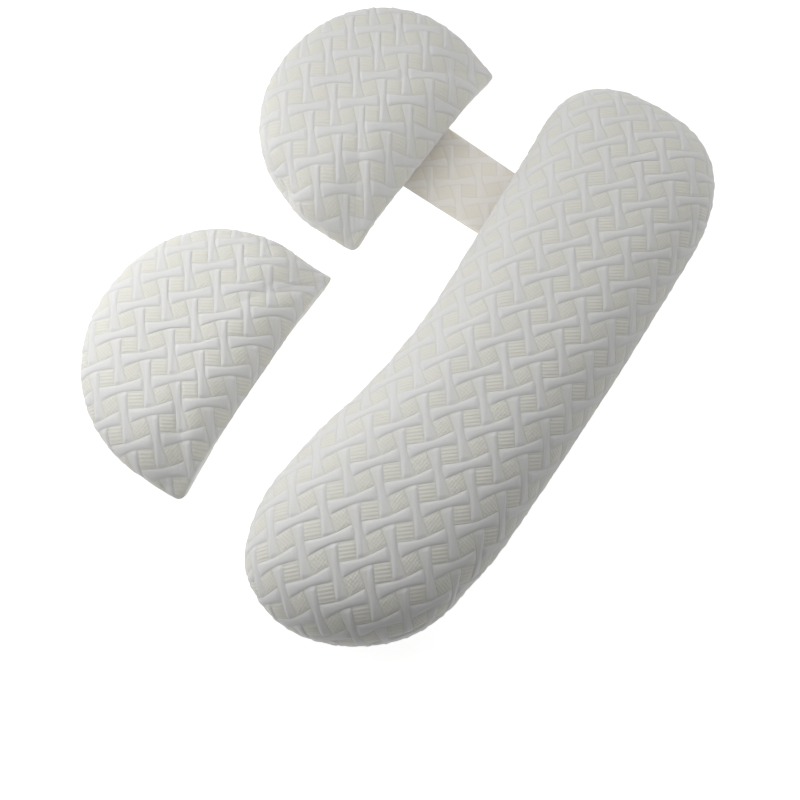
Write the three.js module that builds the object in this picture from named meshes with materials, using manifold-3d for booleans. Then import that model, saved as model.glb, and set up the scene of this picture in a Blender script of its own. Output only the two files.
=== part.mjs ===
// A pregnancy pillow set in one quilted jacquard knit: a long body pillow, a half-round back cushion joined to
// it by a flat strap, and a loose half-round cushion beside them.
// Millimetres, +Z up, +Y along the long pillow. The origin is the middle of the long pillow's flat underside.
import * as THREE from "three";
import { mergeVertices } from "three/addons/utils/BufferGeometryUtils.js";
import Module from "manifold-3d";

// Sizes shared by all pieces
const GAP = 0.3; // left between pieces that touch
const RIM_STEP = 13; // spacing of points round a rim
const RIM_MARGIN = 6; // plain strip kept between the quilting and a rim
const SECTION_STEPS = 28; // steps from a cushion's crown to its rim
const UNDER_RINGS = 4; // rings from a cushion's rim down to its flat underside
const SAMPLES = 120; // samples along each stretch of a rim, from which its even points are taken
const TINY = 1e-6;

// The quilting is a plain weave of puffed strips. Sizes of one puff are in weave units, the distance between
// two neighbouring crossings: it is narrow where it passes over and flares towards its two ends.
// Each piece's weave gives one crossing's place in the piece's plan, the pitch of the crossings in both
// directions, the angle of the first direction from +Y and of the second from -Y, and how far the rows sway
// sideways, in millimetres, 100 mm up or down the piece.
const PUFF = { halfWaist: 0.14, halfEnd: 0.26, ridgeEnd: 0.55, waistRise: 0.8 };
const PUFF_END = 1 - PUFF.halfWaist - (PUFF.halfEnd - PUFF.halfWaist) * PUFF.halfEnd;

// Long body pillow: bean shaped, with a waist on the side that faces the half-round cushions
const LONG = {
  name: "long_pillow",
  height: 126,
  rimHeight: 60,
  fullness: 2.35, // exponent of the crown's section, 2 is an ellipse
  tuck: 46, // how far the underside draws in from the rim to its flat
  relief: 2.8,
  // How the middle line wanders and how wide each side is, at stations along the pillow
  stations: [
    { y: -360, middle: -6, half: 109 },
    { y: -300, middle: -1, half: 109 },
    { y: -235, middle: 5.5, half: 110 },
    { y: -180, middle: 11.5, half: 111.5 },
    { y: -120, middle: 17.5, half: 107 },
    { y: -60, middle: 21, half: 104 },
    { y: 0, middle: 21.5, half: 103 },
    { y: 60, middle: 19, half: 105 },
    { y: 130, middle: 15, half: 107 },
    { y: 190, middle: 11.5, half: 108.5 },
    { y: 245, middle: 7.5, half: 109.5 },
    { y: 310, middle: -2, half: 109 },
    { y: 380, middle: -8, half: 109 },
  ],
  lowerCap: { y: -235, length: 122, fullness: 2.1 },
  upperCap: { y: 245, length: 118, fullness: 2.6 },
  weave: { x: 9.6, y: -94.5, pitchI: 30.1, angleI: 40, pitchJ: 29, angleJ: 44.4, sway: 1.8 },
};

// Half-round cushions: the chord is the straight side and faces the long pillow, the arc bulges away from it
const HALF_ROUNDS = [
  {
    name: "back_cushion",
    at: { x: -207.3, y: 174.5, turn: 0 },
    chordHalf: 149, // half the straight side's length
    halfWidth: 157.5, // the same at the widest place
    widestAt: 60, // distance of the widest place from the chord
    depth: 208, // from the straight side to the far point of the arc
    lean: 0.125, // sideways lean of the arc towards +Y, per millimetre of depth
    height: 92,
    weave: { x: -83, y: -10.2, pitchI: 28.6, angleI: 49.6, pitchJ: 34.3, angleJ: 40.4, sway: 0 },
  },
  {
    name: "loose_cushion",
    at: { x: -196.6, y: -167, turn: 4.3 },
    chordHalf: 153.5,
    halfWidth: 151,
    widestAt: 45,
    depth: 195,
    lean: 0.065,
    height: 86,
    weave: { x: -59.1, y: -6.2, pitchI: 28.3, angleI: 49.2, pitchJ: 30.8, angleJ: 40.8, sway: 0 },
  },
];
const HALF_ROUND = {
  rimHeight: 41,
  fullness: 2.7,
  tuck: 27,
  relief: 2.6,
  arcFullness: 2.1,
  chordBow: 3, // outward bow of the straight side
  crownPlace: 0.43, // crown's distance from the chord, as a share of the depth
};

// Strap: a flat panel that lies on the surface and runs under both cushions that it joins
const STRAP = {
  name: "strap",
  at: { x: -145, y: 194, turn: -3 },
  length: 264,
  backWidth: 102, // at the end under the back cushion
  frontWidth: 89, // at the end under the long pillow
  thickness: 2.2,
  relief: 0.8,
  bareEnd: 84, // plain length at each end, under the cushions
  weave: { x: 0, y: 0, pitchI: 28.4, angleI: 45, pitchJ: 30, angleJ: 45, sway: 0 },
};

const CLOTH = { color: 0xe8e6dc, roughness: 0.92, metalness: 0 };

const wasm = await Module();
wasm.setup();

const radians = THREE.MathUtils.degToRad;

// Smooth value of one column of a table, at y
function fromTable(rows, column, y) {
  const last = rows.length - 1;
  let k = 0;
  while (k < last - 1 && rows[k + 1].y < y) k += 1;
  const share = THREE.MathUtils.clamp((y - rows[k].y) / (rows[k + 1].y - rows[k].y), 0, 1);
  const value = (i) => rows[THREE.MathUtils.clamp(i, 0, last)][column];
  const curve = new THREE.CatmullRomCurve3(
    [-1, 0, 1, 2].map((step) => new THREE.Vector3(value(k + step), 0, 0)),
    false,
    "catmullrom",
    0.5,
  );
  return curve.getPoint((1 + share) / 3).x;
}

// Even points along a closed run of corner-to-corner stretches, each a function of 0 to 1
function evenRim(stretches) {
  const points = [];
  for (const stretch of stretches) {
    const fine = Array.from({ length: SAMPLES + 1 }, (_, i) => stretch(i / SAMPLES));
    const run = [0];
    for (let i = 1; i < fine.length; i += 1) run.push(run[i - 1] + fine[i].distanceTo(fine[i - 1]));
    const total = run[run.length - 1];
    const count = Math.max(2, Math.round(total / RIM_STEP));
    let i = 0;
    for (let n = 0; n < count; n += 1) {
      const target = (total * n) / count;
      while (run[i + 1] < target) i += 1;
      const share = (target - run[i]) / (run[i + 1] - run[i]);
      points.push(fine[i].clone().lerp(fine[i + 1], share));
    }
  }
  return points;
}

// Distance from a point inside the rim to the rim, along a unit direction
function reachTo(rim, from, way) {
  let best = Infinity;
  rim.forEach((a, i) => {
    const b = rim[(i + 1) % rim.length];
    const edge = b.clone().sub(a);
    const offset = a.clone().sub(from);
    const slant = way.x * edge.y - way.y * edge.x;
    if (Math.abs(slant) < TINY) return;
    const distance = (offset.x * edge.y - offset.y * edge.x) / slant;
    const share = (offset.x * way.y - offset.y * way.x) / slant;
    if (share > -TINY && share < 1 + TINY && distance > 0) best = Math.min(best, distance);
  });
  return best;
}

// Upper half of a section: steps from the crown out and down to the rim, with the run of cloth to each
function crownSection(reach, rise, fullness) {
  const steps = [{ out: 0, up: rise, run: 0 }];
  for (let i = 1; i <= SECTION_STEPS; i += 1) {
    const angle = (Math.PI / 2) * (1 - i / SECTION_STEPS);
    const out = reach * Math.max(0, Math.cos(angle)) ** (2 / fullness);
    const up = rise * Math.max(0, Math.sin(angle)) ** (2 / fullness);
    const before = steps[i - 1];
    steps.push({ out, up, run: before.run + Math.hypot(out - before.out, up - before.up) });
  }
  return steps;
}

// Place on a section after a run of cloth from the crown
function walk(steps, run) {
  let i = 0;
  while (i < steps.length - 2 && steps[i + 1].run < run) i += 1;
  const share = (run - steps[i].run) / (steps[i + 1].run - steps[i].run);
  const mix = (key) => THREE.MathUtils.lerp(steps[i][key], steps[i + 1][key], share);
  return { out: mix("out"), up: mix("up") };
}

// Triangles over scattered flat points, by adding them one at a time to a Delaunay mesh.
// Only triangles whose middle lies inside the rim are kept.
function triangulate(points, rim) {
  // A hair of unevenness settles which way a perfect square is split
  const hair = 1e-4;
  const nudged = points.map((p, i) => {
    return new THREE.Vector2(p.x + hair * Math.sin(i), p.y + hair * Math.cos(i * i));
  });
  const far = 1e5; // a first triangle with corners this far out holds every point
  const count = points.length;
  const outer = [[-far, -far], [far, -far], [0, far]].map(([x, y]) => new THREE.Vector2(x, y));
  const all = [...nudged, ...outer];
  const circle = (a, b, c) => {
    const [p, q, r] = [all[a], all[b], all[c]];
    const d = 2 * (p.x * (q.y - r.y) + q.x * (r.y - p.y) + r.x * (p.y - q.y));
    const [pp, qq, rr] = [p.lengthSq(), q.lengthSq(), r.lengthSq()];
    const x = (pp * (q.y - r.y) + qq * (r.y - p.y) + rr * (p.y - q.y)) / d;
    const y = (pp * (r.x - q.x) + qq * (p.x - r.x) + rr * (q.x - p.x)) / d;
    return { corners: [a, b, c], x, y, radiusSq: (p.x - x) ** 2 + (p.y - y) ** 2 };
  };
  let triangles = [circle(count, count + 1, count + 2)];
  nudged.forEach((p, index) => {
    const border = new Map();
    triangles = triangles.filter((t) => {
      if ((p.x - t.x) ** 2 + (p.y - t.y) ** 2 >= t.radiusSq) return true;
      t.corners.forEach((a, k) => {
        const b = t.corners[(k + 1) % 3];
        if (!border.delete(`${b},${a}`)) border.set(`${a},${b}`, [a, b]);
      });
      return false;
    });
    border.forEach(([a, b]) => triangles.push(circle(a, b, index)));
  });
  return triangles
    .map((t) => t.corners)
    .filter((corners) => corners.every((c) => c < count))
    .filter(([a, b, c]) => {
      const middle = points[a].clone().add(points[b]).add(points[c]).divideScalar(3);
      return isInside(rim, middle);
    });
}

function isInside(rim, p) {
  let inside = false;
  rim.forEach((a, i) => {
    const b = rim[(i + 1) % rim.length];
    const crosses = a.y > p.y !== b.y > p.y;
    if (crosses && p.x < a.x + ((p.y - a.y) / (b.y - a.y)) * (b.x - a.x)) inside = !inside;
  });
  return inside;
}

function distanceToRim(rim, p) {
  const distances = rim.map((a, i) => {
    const edge = rim[(i + 1) % rim.length].clone().sub(a);
    const share = THREE.MathUtils.clamp(p.clone().sub(a).dot(edge) / edge.lengthSq(), 0, 1);
    return a.clone().addScaledVector(edge, share).distanceTo(p);
  });
  return Math.min(...distances);
}

// Points of the quilting: for each puff its two waist sides, four end corners and three ridge points,
// with how high each stands as a share of the relief. Puffs run one way on even crossings, the other on odd.
function quiltPoints(weave, extent) {
  const shape = [
    { along: 0, aside: PUFF.halfWaist, rise: 0 },
    { along: 0, aside: -PUFF.halfWaist, rise: 0 },
    { along: PUFF_END, aside: PUFF.halfEnd, rise: 0 },
    { along: PUFF_END, aside: -PUFF.halfEnd, rise: 0 },
    { along: -PUFF_END, aside: PUFF.halfEnd, rise: 0 },
    { along: -PUFF_END, aside: -PUFF.halfEnd, rise: 0 },
    { along: 0, aside: 0, rise: PUFF.waistRise },
    { along: PUFF.ridgeEnd, aside: 0, rise: 1 },
    { along: -PUFF.ridgeEnd, aside: 0, rise: 1 },
  ];
  const step = (pitch, fromNorth) => {
    return new THREE.Vector2(0, pitch).rotateAround(new THREE.Vector2(), radians(-fromNorth));
  };
  const stepI = step(weave.pitchI, weave.angleI);
  const stepJ = step(weave.pitchJ, 180 - weave.angleJ);
  const reach = Math.ceil((Math.SQRT2 * extent) / Math.min(weave.pitchI, weave.pitchJ));
  const points = [];
  for (let i = -reach; i <= reach; i += 1) {
    for (let j = -reach; j <= reach; j += 1) {
      const even = (i + j) % 2 === 0;
      for (const { along, aside, rise } of shape) {
        const u = i + (even ? along : aside);
        const v = j + (even ? aside : along);
        const place = new THREE.Vector2(weave.x, weave.y).addScaledVector(stepI, u).addScaledVector(stepJ, v);
        place.x += weave.sway * (place.y / 100) ** 2;
        points.push({ place, rise });
      }
    }
  }
  return points;
}

function solidOf(geometry) {
  const merged = mergeVertices(geometry.clone().deleteAttribute("normal").deleteAttribute("uv"));
  return new wasm.Manifold(new wasm.Mesh({
    numProp: 3,
    vertProperties: merged.attributes.position.array,
    triVerts: new Uint32Array(merged.index.array),
  }));
}

function geometryOf(solid) {
  const mesh = solid.getMesh();
  const geometry = new THREE.BufferGeometry();
  geometry.setAttribute("position", new THREE.BufferAttribute(mesh.vertProperties, 3));
  geometry.setIndex(new THREE.BufferAttribute(mesh.triVerts, 1));
  return geometry;
}

function geometryFrom(vertices, faces) {
  const geometry = new THREE.BufferGeometry().setFromPoints(vertices);
  geometry.setIndex(faces.flat());
  return geometry;
}

// Filled cushion: a crowned, quilted upper half, sides that draw in below the rim, and a flat underside.
// The rim and the spine are straightened: bend says how far a straightened point lies sideways in the plan.
function cushionGeometry({ rim, spine, bend, weave, height, rimHeight, fullness, tuck, relief }) {
  const rise = height - rimHeight;
  const footOf = (p) => {
    const y = THREE.MathUtils.clamp(p.y, spine.low, spine.high);
    return new THREE.Vector2(spine.x, y);
  };
  // Straight way out from the spine to a plan point
  const rayOf = (p) => {
    const straight = new THREE.Vector2(p.x - bend(p.y), p.y);
    const foot = footOf(straight);
    const away = straight.sub(foot);
    const distance = away.length();
    const way = distance > TINY ? away.divideScalar(distance) : new THREE.Vector2(1, 0);
    return { foot, way, distance };
  };
  const lift = (foot, way, out, z) => {
    const x = foot.x + way.x * out;
    const y = foot.y + way.y * out;
    return new THREE.Vector3(x + bend(y), y, z);
  };
  // Place on the bare upper surface of a point of the cloth laid flat
  const surfaceAt = (p) => {
    const { foot, way, distance } = rayOf(p);
    const steps = crownSection(reachTo(rim, foot, way), rise, fullness);
    const { out, up } = walk(steps, distance);
    return lift(foot, way, out, rimHeight + up);
  };
  const normalAt = (p) => {
    const side = (dx, dy) => surfaceAt(p.clone().add(new THREE.Vector2(dx, dy)));
    const east = side(1, 0).sub(side(-1, 0));
    const north = side(0, 1).sub(side(0, -1));
    return east.cross(north).normalize();
  };

  const rimRays = rim.map((p) => rayOf(new THREE.Vector2(p.x + bend(p.y), p.y)));
  const clothRim = rimRays.map(({ foot, way, distance }) => {
    const run = crownSection(distance, rise, fullness).at(-1).run;
    const edge = foot.clone().addScaledVector(way, run);
    return new THREE.Vector2(edge.x + bend(edge.y), edge.y);
  });
  const extent = Math.max(...clothRim.map((p) => p.length())) + Math.hypot(weave.x, weave.y);
  const quilting = quiltPoints(weave, extent).filter(({ place }) => {
    return isInside(clothRim, place) && distanceToRim(clothRim, place) > RIM_MARGIN;
  });

  const vertices = rimRays.map(({ foot, way, distance }) => lift(foot, way, distance, rimHeight));
  for (const { place, rise: share } of quilting) {
    vertices.push(surfaceAt(place).addScaledVector(normalAt(place), relief * share));
  }
  const faces = triangulate([...clothRim, ...quilting.map((q) => q.place)], clothRim);

  const count = rim.length;
  let above = 0;
  for (let ring = 1; ring <= UNDER_RINGS; ring += 1) {
    const angle = (Math.PI / 2) * (ring / UNDER_RINGS);
    const inset = tuck * (1 - Math.cos(angle));
    const z = rimHeight * (1 - Math.sin(angle));
    const below = vertices.length;
    for (const { foot, way, distance } of rimRays) vertices.push(lift(foot, way, distance - inset, z));
    for (let k = 0; k < count; k += 1) {
      const next = (k + 1) % count;
      faces.push([below + k, below + next, above + next], [below + k, above + next, above + k]);
    }
    above = below;
  }
  const floor = vertices.slice(above).map((v) => new THREE.Vector2(v.x, v.y));
  for (const [a, b, c] of triangulate(floor, floor)) faces.push([above + a, above + c, above + b]);
  return geometryFrom(vertices, faces);
}

function longPillow() {
  const { stations, lowerCap, upperCap } = LONG;
  const half = (y) => fromTable(stations, "half", y);
  const side = (sign) => (t) => {
    const y = THREE.MathUtils.lerp(lowerCap.y, upperCap.y, sign > 0 ? t : 1 - t);
    return new THREE.Vector2(sign * half(y), y);
  };
  const cap = ({ y, length, fullness }, sign) => (t) => {
    const angle = Math.PI * t;
    const rounded = (v) => Math.sign(v) * Math.abs(v) ** (2 / fullness);
    const width = half(y) * sign;
    return new THREE.Vector2(width * rounded(Math.cos(angle)), y + sign * length * rounded(Math.sin(angle)));
  };
  return cushionGeometry({
    ...LONG,
    rim: evenRim([side(1), cap(upperCap, 1), side(-1), cap(lowerCap, -1)]),
    spine: { x: 0, low: lowerCap.y, high: upperCap.y },
    bend: (y) => fromTable(stations, "middle", y),
  });
}

function halfRound(cushion) {
  const { chordHalf, halfWidth, widestAt, depth, lean } = cushion;
  // Along the chord from the -Y corner to the +Y corner
  const chord = (t) => {
    return new THREE.Vector2(HALF_ROUND.chordBow * Math.sin(Math.PI * t), chordHalf * (2 * t - 1));
  };
  // Short side between a corner and the widest place
  const shoulder = (sign) => (t) => {
    const d = widestAt * (sign > 0 ? t : 1 - t);
    const width = THREE.MathUtils.lerp(halfWidth, chordHalf, (1 - d / widestAt) ** 2);
    return new THREE.Vector2(-d, sign * width + lean * d);
  };
  const arc = (t) => {
    const angle = Math.PI * t;
    const rounded = (v) => Math.sign(v) * Math.abs(v) ** (2 / HALF_ROUND.arcFullness);
    const d = widestAt + (depth - widestAt) * rounded(Math.sin(angle));
    return new THREE.Vector2(-d, halfWidth * rounded(Math.cos(angle)) + lean * d);
  };
  const crown = -depth * HALF_ROUND.crownPlace;
  return cushionGeometry({
    ...HALF_ROUND,
    ...cushion,
    rim: evenRim([chord, shoulder(1), arc, shoulder(-1)]),
    spine: { x: crown, low: -lean * crown, high: -lean * crown },
    bend: () => 0,
  });
}

// The strap's four corners in its own plan, grown outwards by a margin
function strapCorners(margin) {
  const end = STRAP.length / 2 + margin;
  const back = STRAP.backWidth / 2 + margin;
  const front = STRAP.frontWidth / 2 + margin;
  return [[-end, -back], [end, -front], [end, front], [-end, back]].map(([x, y]) => new THREE.Vector2(x, y));
}

function strapGeometry() {
  const { length, thickness, weave, relief, bareEnd } = STRAP;
  const corners = strapCorners(0);
  const rim = evenRim(corners.map((a, i) => (t) => a.clone().lerp(corners[(i + 1) % 4], t)));
  const quilted = strapCorners(-RIM_MARGIN);
  const quilting = quiltPoints(weave, length).filter(({ place }) => {
    return Math.abs(place.x) < length / 2 - bareEnd && isInside(quilted, place);
  });
  const flat = [...rim, ...quilting.map((q) => q.place)];
  const rises = [...rim.map(() => 0), ...quilting.map((q) => q.rise)];
  const vertices = flat.map((p, i) => new THREE.Vector3(p.x, p.y, thickness + relief * rises[i]));
  const faces = triangulate(flat, rim);
  const below = vertices.length;
  rim.forEach((p) => vertices.push(new THREE.Vector3(p.x, p.y, 0)));
  rim.forEach((_, k) => {
    const next = (k + 1) % rim.length;
    faces.push([below + k, below + next, next], [below + k, next, k]);
  });
  for (const [a, b, c] of triangulate(rim, rim)) faces.push([below + a, below + c, below + b]);
  return geometryFrom(vertices, faces);
}

function place(geometry, { x, y, turn }) {
  return geometry.rotateZ(radians(turn)).translate(x, y, 0);
}

// Shallow bed in a cushion's underside, in which the strap's end lies
function strapBed() {
  const below = 2;
  const outline = new THREE.Shape(strapCorners(GAP));
  const depth = below + STRAP.thickness + GAP;
  const bed = new THREE.ExtrudeGeometry(outline, { depth, bevelEnabled: false });
  return place(bed.translate(0, 0, -below), STRAP.at);
}

function withBed(geometry) {
  return geometryOf(solidOf(geometry).subtract(solidOf(strapBed())));
}

const part = new THREE.Group();

function addPiece(name, geometry) {
  const mesh = new THREE.Mesh(geometry, new THREE.MeshStandardMaterial(CLOTH));
  mesh.name = name;
  geometry.computeVertexNormals();
  part.add(mesh);
}

addPiece(LONG.name, withBed(longPillow()));
for (const cushion of HALF_ROUNDS) {
  const shaped = place(halfRound(cushion), cushion.at);
  addPiece(cushion.name, cushion.name === "back_cushion" ? withBed(shaped) : shaped);
}
addPiece(STRAP.name, place(strapGeometry(), STRAP.at));

export default part;
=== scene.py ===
import math

import bpy
import numpy as np
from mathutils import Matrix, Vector


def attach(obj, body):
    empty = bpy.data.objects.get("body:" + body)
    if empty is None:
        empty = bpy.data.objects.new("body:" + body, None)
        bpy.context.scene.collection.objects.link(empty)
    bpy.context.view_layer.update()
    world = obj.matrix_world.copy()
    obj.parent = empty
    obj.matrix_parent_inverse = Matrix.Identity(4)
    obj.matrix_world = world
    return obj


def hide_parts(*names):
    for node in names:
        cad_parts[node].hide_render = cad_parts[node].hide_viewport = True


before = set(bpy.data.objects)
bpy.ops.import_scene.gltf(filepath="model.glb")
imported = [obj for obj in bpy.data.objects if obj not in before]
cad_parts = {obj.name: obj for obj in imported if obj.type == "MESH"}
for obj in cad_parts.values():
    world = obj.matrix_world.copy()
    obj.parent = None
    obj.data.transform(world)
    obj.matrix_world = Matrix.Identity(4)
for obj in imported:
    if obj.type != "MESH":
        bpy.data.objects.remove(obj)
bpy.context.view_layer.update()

# Pregnancy pillow set in one quilted jacquard knit. Sizes are in millimetres in the frame's own axes,
# and become metres where a mesh, light or camera is made.
MM = 0.001

# The long pillow is bean shaped. Its stations give how its middle line wanders and how wide each side
# is. The tuck is how far the side draws in below the seam. A fullness of 2 gives an ellipse, and more a
# squarer form.
LONG = {
    "name": "long_pillow",
    "height": 126,
    "rim_height": 60,
    "fullness": 2.35,
    "tuck": 46,
    "stations": [
        {"y": -360, "middle": -15, "half": 109},
        {"y": -300, "middle": -1.5, "half": 109},
        {"y": -235, "middle": 5.5, "half": 110},
        {"y": -180, "middle": 11.5, "half": 111.5},
        {"y": -120, "middle": 17.5, "half": 107},
        {"y": -60, "middle": 21, "half": 104},
        {"y": 0, "middle": 21.5, "half": 103},
        {"y": 60, "middle": 19, "half": 105},
        {"y": 130, "middle": 15, "half": 107},
        {"y": 190, "middle": 11.5, "half": 108.5},
        {"y": 245, "middle": 7.5, "half": 109.5},
        {"y": 310, "middle": -2, "half": 109},
        {"y": 380, "middle": -8, "half": 109},
    ],
    "lower_cap": {"y": -235, "length": 122, "fullness": 2.0},
    "upper_cap": {"y": 245, "length": 115, "fullness": 2.6},
    "at": (0, 0, 0),
    "rim_step": 2.1,
    "top_rings": 92,
}

# Half-round cushions. The straight side, the chord, faces the long pillow, and depth runs from it to the
# arc's far point. The seam is higher along the chord, where the crown slopes down evenly to a sharp
# edge, and it droops at both corners. A chord_lens of 1 draws the side below the chord in evenly, and
# one of 0 as a quarter ellipse. The ears are how much longer the chord is at its lower and its upper
# end.
HALF_ROUND = {
    "rim_height": 41,
    "chord_rim_height": 52,
    "chord_out": 3,
    "chord_lens": 0.9,
    "corner_droop": 20,
    "droop_spread": 34,
    "fullness": 2.85,
    "chord_crown": 2.3,
    "chord_edge": 0.75,
    "tuck": 27,
    "arc_fullness": 2.1,
    "ears": (-7, 4),
    "corner_reach": 7,
    "crown_place": 0.43,
    "rim_step": 1.45,
    "top_rings": 100,
}
BACK = {
    **HALF_ROUND,
    "name": "back_cushion",
    "at": (-207.3, 174.5, 0),
    "chord_half": 149,
    "half_width": 153.2,
    "widest_at": 60,
    "depth": 208,
    "lean": 0.09,
    "chord_bow": 2,
    "chord_crown": 1.85,
    "chord_rim_height": 47,
    "height": 92,
}
LOOSE = {
    **HALF_ROUND,
    "name": "loose_cushion",
    "at": (-196.6, -167, 4.3),
    "chord_half": 153.5,
    "half_width": 151,
    "widest_at": 45,
    "depth": 195,
    "lean": 0.058,
    "chord_bow": 0.5,
    "height": 86,
}
STRAP = {
    "at": (-145, 194, -3),
    "length": 264,
    "back_width": 102,
    "front_width": 89,
    "thickness": 2.2,
    "step": 1.5,
    "relief": 0.8,
    "plain_edge": 7,
    "top_round": {"height": 0.8, "reach": 3},
    "under_round": {"height": 0.5, "reach": 2},
    "off_floor": 0.05,
}

# Where each piece's weave lies: one crossing's place, the pitch and angle of the crossings both ways
# (the first from +Y, the second from -Y), how far the rows sway sideways 100 mm up or down the piece,
# and how much of the cloth's run over the crown the weave follows, where 0 leaves it evenly spaced seen
# from above.
WEAVES = {
    "long_pillow": {"at": (9.6, -94.5), "i": (30.1, 40), "j": (29, 44.4), "sway": 1.8, "follows": 1},
    "back_cushion": {"at": (-83.1, -10), "i": (28.4, 49.5), "j": (34, 40.3), "sway": 0, "follows": 0.25},
    "loose_cushion": {"at": (-59.3, -6.1), "i": (28.1, 49.1), "j": (30.6, 40.7), "sway": 0, "follows": 0.25},
    "strap": {"at": (18.5, -7.3), "i": (29.5, 48), "j": (28, 46), "sway": 0},
}

# Sines of the slopes between which the weave comes to follow the cloth's whole run
STEEP = (0.72, 0.95)

# One puff of the weave, in weave units: half its width at the waist and at its ends, and how far its
# ends reach
WAIST, END, REACH = 0.135, 0.25, 0.86
FLARE_POWER = 1.35
RELIEF = 1.25  # height of the puffs
# A puff of the second way has a raised core, narrower than the puff and turned a little across it
CORE, CORE_TURN, FLANGE = 0.115, 0.14, 0.55
# Across a puff its height is (1 - distance ** flatness) ** roundness. At its waist it is lower, over a
# share of its length.
FLATNESS, ROUNDNESS = 2.4, 0.7
WAIST_RISE, WAIST_SHARE = 0.75, (0.05, 0.5)
DIVE = 0.12  # how far beside a puff the one that dives under it is back at its height
HOLLOW_RISE, HOLLOW_EDGE = 0.45, 0.14

# The relief is whole this far from the seam. On the sides it has died out below the first of these heights
# over the floor and is whole above the second.
PLAIN_SEAM = 8
PLAIN_SIDE = (2, 22)

RIM_SAMPLES = 2001
SECTION_SAMPLES, SECTION_CROWDING = 401, 0.9
SIDE_RINGS = 16
UNDER_RINGS = 9
MEMBRANE_RINGS, MEMBRANE_COLUMNS = 26, 110
# How directly a column faces the straight side where its share of that side begins and where it is whole
CHORD_FACING = (-0.1, 0.75)

# Cloth simulation of a coarse copy. Columns whose feet round to the same step of "foot" share one, and
# points lower than "held_below" stay. The seam is gathered by the share "gather" times a random weight
# from "loosest" to 1, and less beside it. The cloth moves by no more than "reach", and "still_rings" at
# the crown move less sideways. The values from "pressure" on are the simulation's own settings.
CLOTH = {
    "columns": 170,
    "top_rings": 20,
    "side_rings": 5,
    "under_ring": 3,
    "foot": 15,
    "held_below": 1,
    "frames": 20,
    "seed": 7,
    "gather": 0.03,
    "loosest": 0.4,
    "beside_seam": 0.4,
    "reach": 2.2,
    "blurs": 2,
    "still_rings": 5,
    "still_share": 0.8,
    "pressure": 4,
    "quality": 6,
    "mass": 0.3,
    "tension": 20,
    "shear": 8,
    "bending": 0.4,
}

# Small dents and folds in the cloth: place, how far they spread and how deep they are
DENTS = {
    "long_pillow": [(-54, -352, 60, 9, 4.5), (-36, -360, 60, 7, 2.5), (121, -144, 62, 6, 3)],
    "back_cushion": [
        (-310, 50, 50, 27, 9),
        (-309, 43.6, 41, 11, 4),
        (-252.6, 26.8, 41, 7, 3),
        (-228.6, 31.8, 30, 5, 3),
        (-219, 39, 34, 6, 4.5),
    ],
    "loose_cushion": [
        (-365, -252, 41, 13, 3.5),
        (-228.6, -308, 44, 8, 3.5),
        (-215.8, -307, 42, 6, 3.5),
        (-204.2, -308, 40, 6, 4.5),
        (-200.9, -300, 44, 4, 3),
    ],
}

# The cushions that lie on the strap stand clear of it by this much, over its outline and a margin
STRAP_LIFT, LIFT_MARGIN, LIFT_FALL = 3.4, 4, 26
LIFT_TOP = 40  # height at which the lift has died out

# The knit's look. Ribs and dots are counted in each weave unit, and their grid is turned a little from
# the weave. Shares say how far one colour is mixed into another, and the bump's heights are shares of a
# millimetre.
WHITE_CLOTH = {
    "name": "jacquard_knit",
    "puff": (0.64, 0.638, 0.632),
    "hollow": (0.625, 0.617, 0.562),
    "bump": 1,
}
WARM_CLOTH = {
    "name": "jacquard_knit_warm",
    "puff": (0.80, 0.77, 0.73),
    "hollow": (0.775, 0.735, 0.655),
    "bump": 0.5,
}
RIBS, DOTS, GRID_TURN = 8.2, 6.6, 10
RIB_HEIGHT = 0.75
EDGES = {"hollow": (-0.01, 0.035), "crease": 0.045, "core": 0.02, "texture": (0.5, 1.0)}
# Of these shares, the crease one is painted shade beside the puffs and the texture one a painted highlight
# on the ribs and dots
TINTS = {"flange": 0.45, "crease": 0.15, "texture": 0.14, "knit": 0.30}
# Painted highlight on the raised ribs and dots of the hollows: the hollows' own colour made lighter
RIB_AND_DOT_HIGHLIGHT = (0.90, 0.89, 0.82)
# The first darkens the hollows' colour into painted shade along the creases beside the puffs, the second
# darkens the puffs' colour in a fine random grain
CREASE_PAINTED_SHADE, KNIT_DARK = 0.55, 0.75
BUMPS = {"texture": 0.30, "crease": 0.16, "knit": 0.12, "cloudy": 0.2}
CLOUD_SCALE, CLOUD_DETAIL, CLOUD_SPREAD, CLOUD_LOW = 9, 2, 0.6, 0.7
KNIT_SCALE, KNIT_DETAIL, KNIT_SHARE = 900, 1, 0.10
ROUGHNESS, SPECULAR, SHEEN, SHEEN_ROUGHNESS = 0.85, 0.25, 0.25, 0.45
BUMP_STRENGTH = 0.9

# Camera of the photograph
CAMERA_AT = (164.1, -411.2, 1105.1)
CAMERA_AIM = (-64.4, -80.2, 0)
LENS, SENSOR = 47.25, 36

# Softboxes round the set: azimuth from +X and elevation in degrees, distance, and power in watts
LIGHTS = (
    ("left_softbox", 214.6, 45, 900, 5.32),
    ("right_softbox", 34.6, 45, 900, 1.09),
    ("upper_left_softbox", 169.6, 45, 900, 0.76),
    ("overhead_softbox", 34.6, 90, 900, 1.56),
    ("far_left_softbox", 169.6, 20, 1500, 5.08),
    ("far_top_softbox", 79.6, 20, 1500, 3.44),
    ("high_top_softbox", 79.6, 45, 1500, 3.61),
)
LIT_AT = (-100, 0, 0)
LIGHT_SIZE = 800
FLOOR_GLOW = 0.88
FLOOR_COLOUR = (0.35, 0.347, 0.345)
FLOOR_SIZE = 12000
FLOOR_DROP = 0.6  # the floor lies this far below the cloth, so that the two never share a plane
WORLD_COLOUR, WORLD_STRENGTH = (0.95, 0.96, 1.0), 0.02


def smooth(value, low, high):
    """Smooth step from 0 at low to 1 at high"""
    t = np.clip((value - low) / (high - low), 0, 1)
    return t * t * (3 - 2 * t)


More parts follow.
